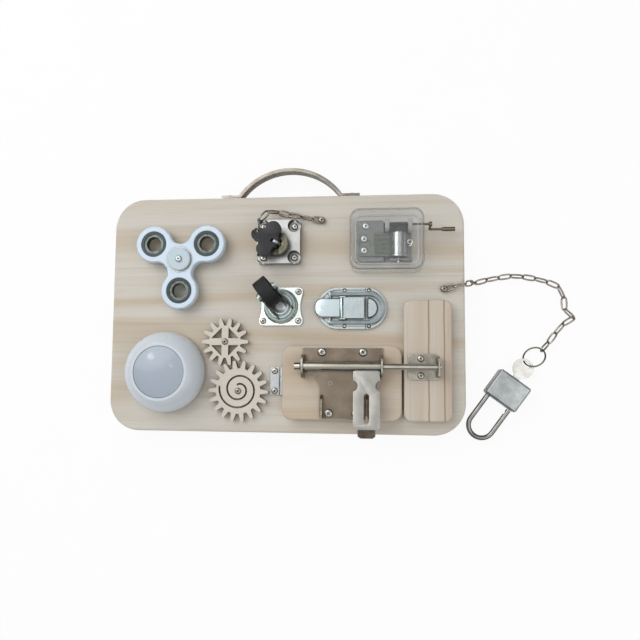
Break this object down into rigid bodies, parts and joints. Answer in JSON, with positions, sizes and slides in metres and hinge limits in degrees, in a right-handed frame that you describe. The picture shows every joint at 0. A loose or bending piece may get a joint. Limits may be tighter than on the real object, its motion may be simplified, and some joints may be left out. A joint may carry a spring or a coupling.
{
  "type": "busy board",
  "caption": "wooden busy board with handle, spinner, push light, gears, lock and key, castor, toggle latch, music box, bolted door and a padlock on a chain",
  "frame": {"origin": "centre of the board's back face, which lies on the table", "axes": "+X along the board's length, toward the side that the padlock's chain leaves; +Y across it, toward the carrying handle; +Z out of the front face, up"},
  "size_m": [0.3915, 0.2303, 0.0545],
  "materials": {
    "pine": "oiled edge-glued pine",
    "birch": "laser-cut birch plywood, edges burnt",
    "nickel": "bright nickel or chrome plate",
    "satin": "satin nickel plate on pressed steel",
    "steel": "bright steel",
    "chain": "dark nickel plated wire",
    "slate": "black oxide, satin",
    "black": "moulded, satin",
    "white": "moulded, gloss",
    "frost": "frosted, lets light through",
    "clear": "clear moulding, see-through",
    "circuit": "circuit board",
    "rubber": "hard tread",
    "brass": "turned"
  },
  "bodies": {
    "panel": {"board": "pine", "handle": "nickel", "spinner_inner_race": "steel", "spinner_caps": "white", "spinner_screw": "nickel", "light_base": "white", "light_housing": "white", "light_circuit": "circuit", "gear_washers": "birch", "round_screws": "nickel", "lock_case": "nickel", "small_screws": "nickel", "key_chain": "chain", "castor_plate": "nickel", "castor_rivet": "nickel", "latch_base": "satin", "latch_catch": "satin", "latch_pin": "steel", "latch_nails": "nickel", "music_case": "clear", "music_frame": "satin", "music_comb": "steel", "music_screws": "nickel", "door_panel": "pine", "hinge_leaves": "nickel", "hinge_pin": "steel", "strike_block": "pine", "padbolt_plate": "satin", "padbolt_staples": "nickel", "padbolt_keeper": "nickel", "padbolt_screws": "nickel", "padlock_chain": "chain", "split_ring": "nickel", "padlock_key": "nickel", "padlock_cylinder": "brass"},
    "spinner": {"spinner_body": "white", "spinner_weights": "slate", "spinner_outer_race": "steel"},
    "lens": {"light_lens": "frost"},
    "large_gear": {"gear_large": "birch"},
    "small_gear": {"gear_small": "birch"},
    "key": {"lock_plug": "nickel", "lock_key": "nickel"},
    "bow": {"key_bow": "black", "key_pin": "steel", "key_link": "chain"},
    "tongue": {"lock_bolt": "nickel"},
    "fork": {"castor_fork": "nickel", "castor_axle": "steel"},
    "wheel": {"castor_wheel": "rubber"},
    "lever": {"latch_lever": "nickel"},
    "loop": {"latch_loop": "satin"},
    "crank": {"music_crank": "steel", "music_grip": "black"},
    "drum": {"music_drum": "nickel", "music_gear": "black"},
    "rod": {"padbolt_rod": "nickel"},
    "hasp": {"padbolt_hasp": "satin"},
    "padlock": {"padlock_case": "nickel"},
    "shackle": {"padlock_shackle": "nickel"}
  },
  "joints": [
    {"name": "spinner_spin", "type": "hinge", "parent": "panel", "child": "spinner", "pos_m": [-0.0877, 0.0447, 0.022], "axis": [0, 0, 1], "continuous": true},
    {"name": "light_press", "type": "slide", "parent": "panel", "child": "lens", "axis": [0, 0, -1], "range_m": [0, 0.0025], "stiffness_N_per_m": 800},
    {"name": "large_gear_spin", "type": "hinge", "parent": "panel", "child": "large_gear", "pos_m": [-0.03684, -0.06553, 0.02], "axis": [0, 0, 1], "continuous": true},
    {"name": "small_gear_spin", "type": "hinge", "parent": "panel", "child": "small_gear", "pos_m": [-0.04876, -0.02451, 0.02], "axis": [0, 0, 1], "continuous": true},
    {"name": "key_turn", "type": "hinge", "parent": "panel", "child": "key", "pos_m": [-0.004, 0.0562, 0.035], "axis": [0, 0, -1], "range_deg": [0, 90]},
    {"name": "tongue_slide", "type": "slide", "parent": "panel", "child": "tongue", "axis": [0, -1, 0], "range_m": [0, 0.007]},
    {"name": "key_fold", "type": "hinge", "parent": "key", "child": "bow", "pos_m": [-0.004, 0.0562, 0.0389], "axis": [0.4226, 0.9063, 0], "range_deg": [0, 180]},
    {"name": "castor_swivel", "type": "hinge", "parent": "panel", "child": "fork", "pos_m": [-0.0022, 0.0054, 0.0196], "axis": [0, 0, 1], "continuous": true},
    {"name": "castor_roll", "type": "hinge", "parent": "fork", "child": "wheel", "pos_m": [-0.00967, 0.01479, 0.042], "axis": [-0.7826, -0.6225, 0], "continuous": true},
    {"name": "lever_swing", "type": "hinge", "parent": "panel", "child": "lever", "pos_m": [0.0491, 0.0037, 0.0236], "axis": [0, 1, 0], "range_deg": [0, 95]},
    {"name": "loop_swing", "type": "hinge", "parent": "lever", "child": "loop", "pos_m": [0.0396, 0.0037, 0.0223], "axis": [0, 1, 0], "range_deg": [-95, 0]},
    {"name": "crank_turn", "type": "hinge", "parent": "panel", "child": "crank", "pos_m": [0.0862, 0.0698, 0.0361], "axis": [1, 0, 0], "continuous": true},
    {"name": "drum_turn", "type": "hinge", "parent": "panel", "child": "drum", "pos_m": [0.0958, 0.0579, 0.0276], "axis": [0, 1, 0], "continuous": true},
    {"name": "bolt_slide", "type": "slide", "parent": "panel", "child": "rod", "axis": [1, 0, 0], "range_m": [-0.0363, 0]},
    {"name": "hasp_swing", "type": "hinge", "parent": "rod", "child": "hasp", "pos_m": [0.0701, -0.0446, 0.037], "axis": [-1, 0, 0], "range_deg": [-12.5, 43]},
    {"name": "padlock_turn", "type": "hinge", "parent": "panel", "child": "padlock", "pos_m": [0.18442, -0.06319, 0.007], "axis": [-0.592, -0.8059, 0], "range_deg": [0, 90]},
    {"name": "shackle_swivel", "type": "hinge", "parent": "padlock", "child": "shackle", "pos_m": [0.17612, -0.05709, 0.007], "axis": [-0.592, -0.8059, 0], "range_deg": [-120, 0]}
  ],
  "couplings": [
    {"joint": "small_gear_spin", "follows": "large_gear_spin", "ratio": -1.2857},
    {"joint": "tongue_slide", "follows": "key_turn", "m_per_rad": 0.0044563},
    {"joint": "loop_swing", "follows": "lever_swing", "ratio": -1},
    {"joint": "drum_turn", "follows": "crank_turn", "ratio": 0.041667}
  ]
}
